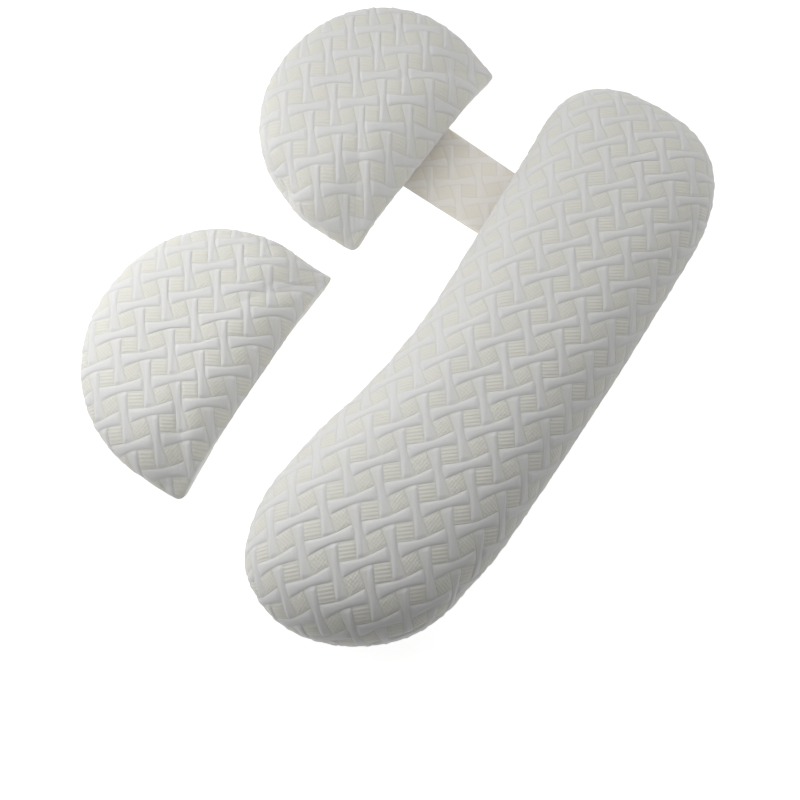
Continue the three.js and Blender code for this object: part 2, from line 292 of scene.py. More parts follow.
def hermite(t, low, high, low_slope, high_slope):
    """Smooth curve from low to high as t goes from 0 to 1, with these slopes at its ends"""
    return (
        (2 * t**3 - 3 * t**2 + 1) * low
        + (t**3 - 2 * t**2 + t) * low_slope
        + (3 * t**2 - 2 * t**3) * high
        + (t**3 - t**2) * high_slope
    )


def from_table(rows, column, y):
    """Smooth values of one column of a table at an array of y"""
    ys = np.array([row["y"] for row in rows], float)
    values = np.array([row[column] for row in rows], float)
    k = np.clip(np.searchsorted(ys, y) - 1, 0, len(ys) - 2)
    t = np.clip((y - ys[k]) / (ys[k + 1] - ys[k]), 0, 1)
    before, low = values[np.maximum(k - 1, 0)], values[k]
    high, after = values[k + 1], values[np.minimum(k + 2, len(values) - 1)]
    return hermite(t, low, high, (high - before) / 2, (after - low) / 2)


def rounded(value, fullness):
    """Sine or cosine turned into that of a superellipse"""
    return np.sign(value) * np.abs(value) ** (2 / fullness)


def even_rim(stretches, step):
    """Even points along a closed run of stretches, each a function of an array from 0 to 1"""
    rim = []
    for stretch in stretches:
        fine = stretch(np.linspace(0, 1, RIM_SAMPLES))
        run = np.concatenate([[0], np.cumsum(np.hypot(*np.diff(fine, axis=0).T))])
        count = round(run[-1] / step)
        at = run[-1] * np.arange(count) / count
        rim.append(np.column_stack([np.interp(at, run, fine[:, axis]) for axis in (0, 1)]))
    return np.concatenate(rim)


def long_rim(shape):
    """Rim of the long pillow with its middle line straightened"""
    low, high = shape["lower_cap"], shape["upper_cap"]

    def half(y):
        return from_table(shape["stations"], "half", y)

    def side(sign):
        def stretch(t):
            y = low["y"] + (high["y"] - low["y"]) * (t if sign > 0 else 1 - t)
            return np.column_stack([sign * half(y), y])
        return stretch

    def cap(end, sign):
        def stretch(t):
            x = sign * half(np.full_like(t, end["y"])) * rounded(np.cos(math.pi * t), end["fullness"])
            y = end["y"] + sign * end["length"] * rounded(np.sin(math.pi * t), end["fullness"])
            return np.column_stack([x, y])
        return stretch

    return even_rim([side(1), cap(high, 1), side(-1), cap(low, -1)], shape["rim_step"])


def half_round_rim(shape):
    """Rim of a half-round cushion: the straight side, a shoulder, the arc and the other shoulder, with the
    corners made blunt by averaging neighbouring points"""
    half_width, widest_at, chord_out = shape["half_width"], shape["widest_at"], shape["chord_out"]
    lean, fullness = shape["lean"], shape["arc_fullness"]
    lower_end, upper_end = (shape["chord_half"] + ear for ear in shape["ears"])

    def chord(t):
        x = chord_out + shape["chord_bow"] * np.sin(math.pi * t)
        return np.column_stack([x, (lower_end + upper_end) * t - lower_end])

    def shoulder(sign):
        end = upper_end if sign > 0 else lower_end

        def stretch(t):
            share = t if sign > 0 else 1 - t
            away = (widest_at + chord_out) * share - chord_out
            width = half_width + (end - half_width) * (1 - share) ** 2
            return np.column_stack([-away, sign * width + lean * away])
        return stretch

    def arc(t):
        away = widest_at + (shape["depth"] - widest_at) * rounded(np.sin(math.pi * t), fullness)
        return np.column_stack([-away, half_width * rounded(np.cos(math.pi * t), fullness) + lean * away])

    rim = even_rim([chord, shoulder(1), arc, shoulder(-1)], shape["rim_step"])
    blunt = round(shape["corner_reach"] / shape["rim_step"])
    return sum(np.roll(rim, k, axis=0) for k in range(-blunt, blunt + 1)) / (2 * blunt + 1)


# Samples of a section from the middle out to the rim, closer together towards the rim, where it is steep
SECTION = np.sin(np.linspace(0, math.pi / 2, SECTION_SAMPLES)) ** SECTION_CROWDING


def membrane(foot, way, reach, rings):
    """Height of a membrane under even pressure, held at the rim, on rings between the foot and the
    rim"""
    columns, count = len(reach), len(rings) - 1
    spots = foot[None] + way[None] * (rings[1:, None] * reach)[..., None]
    spots = np.concatenate([foot[:1], spots.reshape(-1, 2)])
    number = 1 + np.arange(count * columns).reshape(count, columns)
    ahead = np.roll(number, -1, axis=1)
    fan = np.column_stack([np.zeros(columns, int), number[0], ahead[0]])
    first = np.column_stack([number[:-1].ravel(), number[1:].ravel(), ahead[1:].ravel()])
    second = np.column_stack([number[:-1].ravel(), ahead[1:].ravel(), ahead[:-1].ravel()])
    triangles = np.concatenate([fan, first, second])
    stiffness = np.zeros((len(spots), len(spots)))
    load = np.zeros(len(spots))
    corner = spots[triangles]
    area = np.cross(corner[:, 1] - corner[:, 0], corner[:, 2] - corner[:, 0]) / 2
    edge = [corner[:, (k + 2) % 3] - corner[:, (k + 1) % 3] for k in range(3)]
    for a in range(3):
        np.add.at(load, triangles[:, a], area / 3)
        for b in range(3):
            value = (edge[a] * edge[b]).sum(1) / (4 * area)
            np.add.at(stiffness, (triangles[:, a], triangles[:, b]), value)
    inner = 1 + (count - 1) * columns
    height = np.zeros(len(spots))
    height[:inner] = np.linalg.solve(stiffness[:inner, :inner], load[:inner])
    return np.vstack([np.full(columns, height[0]), height[1:].reshape(count, columns)])


def bulge(shape, foot, way, reach):
    """How far each place of SECTION, on each column, bulges: 0 at the rim and 1 at the highest place.
    A long cushion is round across. A half-round one bulges like a membrane blown up over its outline,
    which leaves its corners thin."""
    if "stations" in shape:
        return np.repeat(1 - SECTION[:, None] ** 2, len(reach), axis=1)
    # The membrane is solved on some of the columns and read off between them
    skip = max(1, len(reach) // MEMBRANE_COLUMNS)
    picked = np.arange(0, len(reach), skip)
    rings = np.linspace(0, 1, MEMBRANE_RINGS + 1)
    height = membrane(foot[picked], way[picked], reach[picked], rings)
    steps = np.arange(len(reach)) / skip
    low = np.floor(steps).astype(int) % len(picked)
    last_stretch = len(reach) / skip - (len(picked) - 1)
    share = (steps - np.floor(steps)) / np.where(low == len(picked) - 1, last_stretch, 1)
    full = height[:, low] * (1 - share) + height[:, (low + 1) % len(picked)] * share
    slopes = np.gradient(full, rings, axis=0)
    slopes[0] = 0.5 * (slopes[0] + slopes[1])
    k = np.clip(np.searchsorted(rings, SECTION) - 1, 0, MEMBRANE_RINGS - 1)
    t = ((SECTION - rings[k]) * MEMBRANE_RINGS)[:, None]
    curve = hermite(t, full[k], full[k + 1], slopes[k] / MEMBRANE_RINGS, slopes[k + 1] / MEMBRANE_RINGS)
    return np.clip(curve / curve.max(), 0, 1)


def chord_share(way):
    """How much each column, by its way out from its foot, faces the straight side of a half-round
    cushion"""
    return smooth(way[:, 0], *CHORD_FACING)


def rim_heights(shape, rim, way):
    """Height of the seam on each column. On a half-round cushion it is higher on the straight side and
    droops at both corners."""
    if "chord_rim_height" not in shape:
        return np.full(len(rim), float(shape["rim_height"]))
    high = shape["rim_height"] + (shape["chord_rim_height"] - shape["rim_height"]) * chord_share(way)
    to_corner = np.hypot(rim[:, 0], np.abs(rim[:, 1]) - shape["chord_half"])
    return high - shape["corner_droop"] * np.exp(-((to_corner / shape["droop_spread"]) ** 2))


def crown_rings(shape, rim_height, foot, way, reach):
    """Rings at even runs of cloth from the crown to the rim: how far out, how high over the rim, and the
    run"""
    level = bulge(shape, foot, way, reach)
    crown, edge = shape["fullness"] / 2, 1 / shape["fullness"]
    if "chord_crown" in shape:
        # Towards the straight side the crown slopes down evenly to a sharp seam
        facing = chord_share(way)
        crown = crown + (shape["chord_crown"] - crown) * facing
        edge = edge + (shape["chord_edge"] - edge) * facing
    up = (shape["height"] - rim_height) * (1 - (1 - level) ** crown) ** edge
    out = SECTION[:, None] * reach
    steps = np.hypot(np.diff(out, axis=0), np.diff(up, axis=0))
    run = np.vstack([0 * reach, np.cumsum(steps, axis=0)])
    share = np.linspace(0, 1, shape["top_rings"] + 1)
    rings = np.empty((3, len(share), len(reach)))
    for k in range(len(reach)):
        at = share * run[-1, k]
        rings[:, :, k] = np.interp(at, run[:, k], out[:, k]), np.interp(at, run[:, k], up[:, k]), at
    return rings


def every(count, wanted):
    """About this many of a run of whole numbers, evenly spread and with both ends"""
    return np.unique(np.round(np.linspace(0, count - 1, wanted)).astype(int))


def shared_feet(cushion, columns):
    """The foot of each of these columns, where those whose feet are close share one, so that the cloth has
    no slit along its crown, and each foot's place on the crown and under the cushion"""
    _, feet = np.unique(np.round(cushion.foot[columns, 1] / CLOTH["foot"]), return_inverse=True)
    feet = feet.ravel()
    shared = np.zeros((2, feet.max() + 1, 3))
    for row, total in zip((0, -1), shared):
        np.add.at(total, feet, cushion.points[row, columns])
        total /= np.bincount(feet)[:, None]
    return feet, shared


def coarse_faces(number, feet):
    """Faces of a closed cloth: a grid of numbered points, the feet on the crown, then those on the
    underside"""
    top, bottom = number.size, number.size + feet.max() + 1
    faces = []
    for c in range(number.shape[1]):
        d = (c + 1) % number.shape[1]
        faces.append([top + feet[c], number[0, c], number[0, d], top + feet[d]])
        for r in range(number.shape[0] - 1):
            faces.append([number[r, c], number[r + 1, c], number[r + 1, d], number[r, d]])
        faces.append([number[-1, c], bottom + feet[c], bottom + feet[d], number[-1, d]])
    return [list(dict.fromkeys(int(k) for k in face)) for face in faces]


def blown_up(vertices, faces, held, gathered):
    """Vertices after a short cloth simulation under pressure. Held ones stay, and the gathered ones, each
    with a weight, draw the cloth between them in."""
    mesh = bpy.data.meshes.new("coarse")
    mesh.from_pydata((vertices * MM).tolist(), [], faces)
    copy = bpy.data.objects.new("coarse", mesh)
    scene = bpy.context.scene
    scene.collection.objects.link(copy)
    copy.vertex_groups.new(name="held").add(held, 1, "REPLACE")
    seam = copy.vertex_groups.new(name="gathered")
    for vertex, weight in gathered:
        seam.add([vertex], weight, "REPLACE")

    cloth = copy.modifiers.new("Cloth", "CLOTH")
    settings = cloth.settings
    settings.quality = CLOTH["quality"]
    settings.mass = CLOTH["mass"]
    settings.tension_stiffness = settings.compression_stiffness = CLOTH["tension"]
    settings.shear_stiffness = CLOTH["shear"]
    settings.bending_stiffness = CLOTH["bending"]
    settings.use_pressure = True
    settings.uniform_pressure_force = CLOTH["pressure"]
    settings.vertex_group_mass = "held"
    settings.vertex_group_shrink = "gathered"
    settings.shrink_max = CLOTH["gather"]
    settings.effector_weights.gravity = 0
    cloth.point_cache.frame_start, cloth.point_cache.frame_end = 1, CLOTH["frames"]
    before = scene.frame_current
    for step in range(1, CLOTH["frames"] + 1):
        scene.frame_set(step)
    worn = copy.evaluated_get(bpy.context.evaluated_depsgraph_get())
    after = np.empty(len(vertices) * 3)
    worn.data.vertices.foreach_get("co", after)
    bpy.data.objects.remove(copy)
    bpy.data.meshes.remove(mesh)
    scene.frame_set(before)
    return after.reshape(-1, 3) / MM


def evened(moved, feet, outward):
    """Movement of a coarse cloth without its sharp steps and without the even swelling of each ring, so
    that only the puckers and the drawn corners stay"""
    swelling = (moved[..., :2] * outward).sum(-1).mean(axis=1)
    moved[..., :2] -= swelling[:, None, None] * outward
    moved[..., 2] -= moved[..., 2].mean(axis=1, keepdims=True)
    for _ in range(CLOTH["blurs"]):
        moved = (np.roll(moved, 1, axis=1) + 2 * moved + np.roll(moved, -1, axis=1)) / 4
        moved[1:-1] = (moved[:-2] + 2 * moved[1:-1] + moved[2:]) / 4
    crown = np.zeros((feet.max() + 1, 3))
    np.add.at(crown, feet, moved[1])
    moved[0] = (crown / np.bincount(feet)[:, None])[feet]
    # The crown stays where its weave is
    still = np.linspace(0, CLOTH["still_share"], CLOTH["still_rings"])
    moved[:len(still), :, :2] *= still[:, None, None]
    return moved


def settled(cushion):
    """How far each point moves in a short cloth simulation of a coarse copy, blown up with its seam
    gathered in"""
    rows, columns = cushion.out.shape
    rim = cushion.rim_row
    top_rows = every(rim + 1, CLOTH["top_rings"])
    side_rows = rim + every(SIDE_RINGS + 1, CLOTH["side_rings"])[1:]
    picked_rows = np.concatenate([top_rows, side_rows, [cushion.under_row + CLOTH["under_ring"]]])
    picked = every(columns + 1, CLOTH["columns"])[:-1]
    start = cushion.points[np.ix_(picked_rows, picked)][1:]
    count, around = start.shape[:2]
    feet, shared = shared_feet(cushion, picked)
    top, bottom = count * around, count * around + shared.shape[1]
    vertices = np.concatenate([start.reshape(-1, 3), *shared])
    number = np.arange(top).reshape(count, around)

    held = [int(k) for k in np.nonzero(vertices[:, 2] < CLOTH["held_below"])[0]]
    seam = int(np.nonzero(picked_rows == rim)[0][0]) - 1
    spread = np.random.default_rng(CLOTH["seed"]).uniform(CLOTH["loosest"], 1, around)
    gathered = []
    for row, share in ((seam - 1, CLOTH["beside_seam"]), (seam, 1), (seam + 1, CLOTH["beside_seam"])):
        gathered += [(int(vertex), float(weight)) for vertex, weight in zip(number[row], spread * share)]

    moved = blown_up(vertices, coarse_faces(number, feet), held, gathered) - vertices
    far = np.linalg.norm(moved, axis=1, keepdims=True)
    moved *= np.tanh(far / CLOTH["reach"]) * CLOTH["reach"] / np.maximum(far, 1e-6)
    whole = np.empty((count + 2, around, 3))
    whole[1:-1] = moved[:top].reshape(count, around, 3)
    whole[0], whole[-1] = moved[top:bottom][feet], moved[bottom:][feet]
    whole = evened(whole, feet, cushion.way[picked])

    by_row = np.concatenate([picked_rows, [rows - 1]])
    by_column = np.concatenate([picked, [columns]])
    fine = np.empty((rows, columns, 3))
    for axis in range(3):
        closed = np.column_stack([whole[..., axis], whole[:, :1, axis]])
        wide = np.stack([np.interp(np.arange(columns), by_column, line) for line in closed])
        for column in range(columns):
            fine[:, column, axis] = np.interp(np.arange(rows), by_row, wide[:, column])
    return fine


def over_strap(points):
    """Points with their lowest parts raised where the strap lies below them"""
    x, y, turn = STRAP["at"]
    c, s = math.cos(math.radians(turn)), math.sin(math.radians(turn))
    dx, dy = points[..., 0] - x, points[..., 1] - y
    along = np.abs(c * dx + s * dy) - STRAP["length"] / 2
    across = np.abs(c * dy - s * dx) - STRAP["back_width"] / 2
    outside = np.hypot(np.maximum(along, 0), np.maximum(across, 0))
    lift = STRAP_LIFT * (1 - smooth(outside, LIFT_MARGIN, LIFT_MARGIN + LIFT_FALL))
    lift *= 1 - smooth(points[..., 2], 0, LIFT_TOP)
    return points + lift[..., None] * np.array([0, 0, 1])


class Cushion:
    """Rows of points from the crown over the rim to the middle of the underside, one column for each rim
    point"""

    def __init__(self, shape, rim, spine, bend):
        self.shape, self.bend = shape, bend
        self.foot = np.column_stack([np.full(len(rim), spine[0]), np.clip(rim[:, 1], spine[1], spine[2])])
        away = rim - self.foot
        self.reach = np.hypot(*away.T)
        self.way = away / self.reach[:, None]
        rim_height, tuck = rim_heights(shape, rim, self.way), shape["tuck"]

        out, up, run = crown_rings(shape, rim_height, self.foot, self.way, self.reach)
        angle = (np.linspace(0, 1, SIDE_RINGS + 1) * math.pi / 2)[1:, None]
        lens = shape["chord_lens"] * chord_share(self.way) if "chord_lens" in shape else 0
        side_out = self.reach - tuck * ((1 - lens) * (1 - np.cos(angle)) + lens * np.sin(angle))
        side_z = rim_height * (1 - np.sin(angle))
        steps = np.hypot(np.diff(np.vstack([out[-1:], side_out]), axis=0),
                         np.diff(np.vstack([rim_height, side_z]), axis=0))
        side_run = run[-1] + np.cumsum(steps, axis=0)
        share = np.linspace(1, 0, UNDER_RINGS + 1)[1:, None]
        under_out = share * side_out[-1]

        self.out = np.vstack([out, side_out, under_out])
        self.z = np.vstack([up + rim_height, side_z, 0 * under_out])
        self.run = np.vstack([run, side_run, side_run[-1] + side_out[-1] - under_out])
        self.rim_row = shape["top_rings"]
        self.under_row = self.rim_row + SIDE_RINGS
        self.points = self.placed(self.out, self.z)
        self.points = over_strap(self.points + settled(self))
        self.points[..., 2] = np.maximum(self.points[..., 2], 0)

    def plan(self, out):
        """Place in the piece's own plan of points this far out from the foot of each column"""
        xy = self.foot + self.way * out[..., None]
        xy[..., 0] += self.bend(xy[..., 1])
        return xy

    def placed(self, out, z):
        """Points in the frame's axes"""
        xy = self.plan(out)
        x, y, turn = self.shape["at"]
        c, s = math.cos(math.radians(turn)), math.sin(math.radians(turn))
        world_x = c * xy[..., 0] - s * xy[..., 1] + x
        world_y = s * xy[..., 0] + c * xy[..., 1] + y
        return np.stack([world_x, world_y, z], axis=-1)


def long_pillow():
    spine = (0, LONG["lower_cap"]["y"], LONG["upper_cap"]["y"])
    return Cushion(LONG, long_rim(LONG), spine, lambda y: from_table(LONG["stations"], "middle", y))


def half_round(shape):
    crown = -shape["depth"] * shape["crown_place"]
    spine = (crown, -shape["lean"] * crown, -shape["lean"] * crown)
    return Cushion(shape, half_round_rim(shape), spine, lambda y: 0 * y)


def weave_place(weave, plan):
    """Place of plan points in weave units, with a crossing at each pair of whole numbers"""
    (pitch_i, angle_i), (pitch_j, angle_j) = weave["i"], weave["j"]
    x = plan[..., 0] - weave["sway"] * (plan[..., 1] / 100) ** 2 - weave["at"][0]
    y = plan[..., 1] - weave["at"][1]
    a, b = math.radians(angle_i), math.radians(angle_j)
    i = (x * math.cos(b) + y * math.sin(b)) / math.sin(a + b) / pitch_i
    j = (x * math.cos(a) - y * math.sin(a)) / math.sin(a + b) / pitch_j
    return np.stack([i, j], axis=-1)


def followed_run(cushion, follows):
    """How far along the cloth each point counts for the weave: this share of the run over the gentle
    crown, and all of it where the cloth is steeper than the camera sees"""
    out_steps, run_steps = np.diff(cushion.out, axis=0), np.diff(cushion.run, axis=0)
    steepness = -np.diff(cushion.z, axis=0) / np.maximum(run_steps, 1e-9)
    share = follows + (1 - follows) * smooth(steepness, *STEEP)
    share[cushion.rim_row:] = 1
    steps = out_steps + share * (run_steps - out_steps)
    return np.vstack([0 * cushion.out[:1], np.cumsum(steps, axis=0)])


def puff_width(along):
    """Half the width of a puff this far from its middle"""
    return WAIST + (END - WAIST) * (along / REACH) ** FLARE_POWER


def arch(distance):
    """Height across a puff, where distance is 0 on its middle line and 1 at its edge"""
    return np.clip(1 - distance**FLATNESS, 0, 1) ** ROUNDNESS


def puff_height(place):
    """Height of the quilting as a share of its relief, at points in weave units"""
    i, j = np.floor(place[..., 0] + 0.5), np.floor(place[..., 1] + 0.5)
    s, t = place[..., 0] - i, place[..., 1] - j
    odd = np.mod(i + j, 2) > 0.5
    along, aside = np.abs(np.where(odd, t, s)), np.abs(np.where(odd, s, t))
    over_width, under_width = puff_width(along), puff_width(1 - aside)
    over, under = arch(aside / over_width), arch(along / under_width)
    # Puffs of the second way: the one over this crossing, or the end of one that dives under it
    from_middle = np.where(odd, t, t - np.sign(t))
    core = arch(np.abs(s + CORE_TURN * from_middle) / CORE)
    over = np.where(odd, np.maximum(core * (over > 0), over * FLANGE), over)
    under = np.where(odd, under, np.maximum(core * (under > 0), under * FLANGE))
    under = under * smooth(aside - over_width, 0.0, DIVE)
    swell = WAIST_RISE + (1 - WAIST_RISE) * smooth(along, *WAIST_SHARE)
    off_puffs = np.minimum(aside - over_width, along - under_width)
    hollow = HOLLOW_RISE * smooth(off_puffs, 0.0, HOLLOW_EDGE)
    return np.maximum(np.maximum(over * swell, under), hollow)


def relief_rows(cushion, wrapped):
    """Height of the quilting over each point, which dies out at the seam and towards the underside"""
    height = RELIEF * puff_height(wrapped)
    from_seam = np.abs(cushion.run - cushion.run[cushion.rim_row])
    height *= smooth(from_seam, 0, PLAIN_SEAM)
    height *= smooth(cushion.z, *PLAIN_SIDE)
    return height


def make_object(name, vertices, faces, uvs, heights):
    """Mesh object in metres, with its points raised along their normals by heights"""
    mesh = bpy.data.meshes.new(name)
    mesh.from_pydata((vertices * MM).tolist(), [], faces)
    normals = np.empty(len(vertices) * 3, np.float32)
    mesh.vertex_normals.foreach_get("vector", normals)
    raised = vertices + normals.reshape(-1, 3) * heights[:, None]
    mesh.vertices.foreach_set("co", (raised * MM).astype(np.float32).ravel())
    cloth = mesh.attributes.new("cloth", "FLOAT2", "CORNER")
    cloth.data.foreach_set("vector", uvs.astype(np.float32).ravel())
    mesh.polygons.foreach_set("use_smooth", np.ones(len(mesh.polygons), bool))
    mesh.update()
    piece = bpy.data.objects.new(name, mesh)
    bpy.context.scene.collection.objects.link(piece)
    return piece


def cushion_mesh(cushion):
    """Closed mesh of a cushion, with its cloth coordinates on the face corners"""
    rows, columns = cushion.out.shape
    points = cushion.points
    name = cushion.shape["name"]
    weave = WEAVES[name]
    wrapped = weave_place(weave, cushion.plan(followed_run(cushion, weave["follows"])))
    below = weave_place(weave, cushion.plan(cushion.out))

    # The first and last row are the feet, which neighbouring columns share
    _, first, feet = np.unique(np.round(cushion.foot, 3), axis=0, return_index=True, return_inverse=True)
    feet = feet.ravel()
    number = np.empty((rows, columns), int)
    number[0] = feet
    number[1:-1] = len(first) + np.arange((rows - 2) * columns).reshape(rows - 2, columns)
    number[-1] = len(first) + (rows - 2) * columns + feet
    vertices = np.concatenate([points[0, first], points[1:-1].reshape(-1, 3), points[-1, first]])

    row, column = np.meshgrid(np.arange(rows - 1), np.arange(columns), indexing="ij")
    row, column = row.ravel(), column.ravel()
    nearby = (column + 1) % columns
    corners = [(row, column), (row + 1, column), (row + 1, nearby), (row, nearby)]
    ids = np.column_stack([number[corner] for corner in corners])
    under = (row >= cushion.under_row)[:, None, None]
    place = np.where(
        under,
        np.stack([below[corner] for corner in corners], axis=1),
        np.stack([wrapped[corner] for corner in corners], axis=1),
    )
    faces, uvs = [], []
    for corner_ids, corner_places in zip(ids.tolist(), place):
        keep = [0, 1, 2, 3]
        if corner_ids[0] == corner_ids[3]:
            keep = [0, 1, 2]
        elif corner_ids[1] == corner_ids[2]:
            keep = [0, 1, 3]
        faces.append([corner_ids[k] for k in keep])
        uvs.append(corner_places[keep])

    height = relief_rows(cushion, wrapped)
    heights = np.concatenate([height[0, first], height[1:-1].ravel(), height[-1, first]])
    for x, y, z, spread, depth in DENTS[name]:
        away = np.linalg.norm(vertices - (x, y, z), axis=1)
        heights -= depth * np.exp(-((away / spread) ** 2))
    return make_object(name + "_cloth", vertices, faces, np.concatenate(uvs), heights)


def strap_mesh():
    """Flat quilted panel with a closed edge"""
    length, back_width, front_width = STRAP["length"], STRAP["back_width"], STRAP["front_width"]
    columns, rows = round(length / STRAP["step"]), round(back_width / STRAP["step"])
    t, s = np.meshgrid(np.linspace(0, 1, columns + 1), np.linspace(-1, 1, rows + 1), indexing="ij")
    x = length * (t - 0.5)
    y = s * (back_width + (front_width - back_width) * t) / 2
    place = weave_place(WEAVES["strap"], np.stack([x, y], axis=-1))
    edge = np.minimum(length / 2 - np.abs(x), np.abs(1 - np.abs(s)) * back_width / 2)

    def roundness(form):
        return form["height"] * (1 - smooth(edge, 0, form["reach"]))

    quilting = STRAP["relief"] * puff_height(place) * smooth(edge, 0, STRAP["plain_edge"])
    top = STRAP["thickness"] - roundness(STRAP["top_round"]) + quilting
    bottom = STRAP["off_floor"] + roundness(STRAP["under_round"])
    angle = math.radians(STRAP["at"][2])
    world_x = math.cos(angle) * x - math.sin(angle) * y + STRAP["at"][0]
    world_y = math.sin(angle) * x + math.cos(angle) * y + STRAP["at"][1]
    upper = np.stack([world_x, world_y, top], axis=-1)
    lower = np.stack([world_x, world_y, bottom], axis=-1)

    # The upper points are numbered first, then the lower ones in the same order
    count = (columns + 1) * (rows + 1)
    number = np.arange(count).reshape(columns + 1, rows + 1)
    faces = []
    for c in range(columns):
        for r in range(rows):
            a, b, d, e = number[c, r], number[c + 1, r], number[c + 1, r + 1], number[c, r + 1]
            faces.append([a, b, d, e])
            faces.append([a + count, e + count, d + count, b + count])
    ring = np.concatenate([number[:-1, 0], number[-1, :-1], number[:0:-1, -1], number[0, :0:-1]])
    for a, b in zip(ring, np.roll(ring, -1)):
        faces.append([b, a, a + count, b + count])
    faces = [[int(k) for k in face] for face in faces]
    places = np.concatenate([place.reshape(-1, 2)] * 2)
    uvs = np.concatenate([places[face] for face in faces])
    vertices = np.concatenate([upper.reshape(-1, 3), lower.reshape(-1, 3)])
    return make_object("strap_cloth", vertices, faces, uvs, np.zeros(len(vertices)))


class Wire:
    """A number in a material's nodes. Arithmetic on it adds Math nodes."""

    def __init__(self, tree, socket):
        self.tree, self.socket = tree, socket

    def fill(self, node, values):
        """The output of a node whose first inputs take these numbers or wires"""
        for slot, value in zip(node.inputs, values):
            if isinstance(value, Wire):
                self.tree.links.new(value.socket, slot)
            else:
                slot.default_value = value
        return Wire(self.tree, node.outputs[0])

    def math(self, operation, *others):
        node = self.tree.nodes.new("ShaderNodeMath")
        node.operation = operation
        return self.fill(node, (self, *others))

    def ramp(self, low, high):
        """Smooth step from 0 at low to 1 at high"""
        node = self.tree.nodes.new("ShaderNodeMapRange")
        node.interpolation_type = "SMOOTHSTEP"
        return self.fill(node, (self, low, high, 0, 1))

    def __add__(self, other):
        return self.math("ADD", other)

    def __sub__(self, other):
        return self.math("SUBTRACT", other)

    def __mul__(self, other):
        return self.math("MULTIPLY", other)

    def __truediv__(self, other):
        return self.math("DIVIDE", other)

    def __pow__(self, other):
        return self.math("POWER", other)

    __radd__, __rmul__ = __add__, __mul__

    def __rsub__(self, other):
        return self * -1 + other


def mixed(share, first, second):
    """first where share is 0, second where it is 1"""
    return first + share * (second - first)


def colour_mix(tree, share, first, second):
    """Socket of a colour that is first where share is 0 and second where it is 1"""
    node = tree.nodes.new("ShaderNodeMix")
    node.data_type = "RGBA"
    tree.links.new(share.socket, node.inputs["Factor"])
    for slot, value in ((node.inputs[6], first), (node.inputs[7], second)):
        if isinstance(value, tuple):
            slot.default_value = (*value, 1)
        else:
            tree.links.new(value, slot)
    return node.outputs[2]


def noise(tree, coordinates, scale, detail):
    node = tree.nodes.new("ShaderNodeTexNoise")
    node.inputs["Scale"].default_value = scale
    node.inputs["Detail"].default_value = detail
    tree.links.new(coordinates, node.inputs["Vector"])
    return Wire(tree, node.outputs["Fac"])


def darker(colour, share):
    return tuple(c * share for c in colour)


def weave_masks(u, v):
    """Where the cloth is a hollow, a crease beside a puff, and a flange beside a puff's core, from its
    place in weave units"""
    i, j = (u + 0.5).math("FLOOR"), (v + 0.5).math("FLOOR")
    to_side, down_puff = u - i, v - j
    s, t = to_side.math("ABSOLUTE"), down_puff.math("ABSOLUTE")
    odd = (i + j).math("FLOORED_MODULO", 2).math("GREATER_THAN", 0.5)
    along, aside = mixed(odd, s, t), mixed(odd, t, s)

    def width(distance):
        return (distance / REACH) ** FLARE_POWER * (END - WAIST) + WAIST

    off_over = aside - width(along)
    off_under = along - width(1 - aside)
    in_hollow = off_over.math("MINIMUM", off_under).ramp(*EDGES["hollow"])
    hidden = off_over.math("LESS_THAN", 0)
    to_edge = off_over.math("ABSOLUTE").math("MINIMUM", off_under.math("ABSOLUTE") + hidden)
    # The crease mask deepens the groove beside each puff in the bump, and paints shade into the colour there
    crease = 1 - to_edge.ramp(0.0, EDGES["crease"])
    from_middle = mixed(odd, down_puff - down_puff.math("SIGN"), down_puff)
    off_core = (to_side + from_middle * CORE_TURN).math("ABSOLUTE") - CORE
    second_way = mixed(odd, off_over.math("GREATER_THAN", 0), hidden)
    flange = off_core.ramp(-EDGES["core"], EDGES["core"]) * second_way * (1 - in_hollow)
    return in_hollow, crease, flange


def hollow_texture(u, v):
    """Fine structure of the hollows, ribbed and dotted in turn and turned a little from the weave"""
    turn = math.radians(GRID_TURN)
    across = u * math.cos(turn) + v * math.sin(turn)
    down = v * math.cos(turn) - u * math.sin(turn)
    ribs = (down * (2 * math.pi * RIBS)).math("SINE") * 0.5 + 0.5
    dots = (down * (2 * math.pi * DOTS)).math("SINE") * (across * (2 * math.pi * DOTS)).math("SINE")
    dots = dots * 0.5 + 0.5
    dotted = (u.math("FLOOR") + v.math("FLOOR")).math("FLOORED_MODULO", 2).math("GREATER_THAN", 0.5)
    return mixed(dotted, ribs * RIB_HEIGHT, dots)


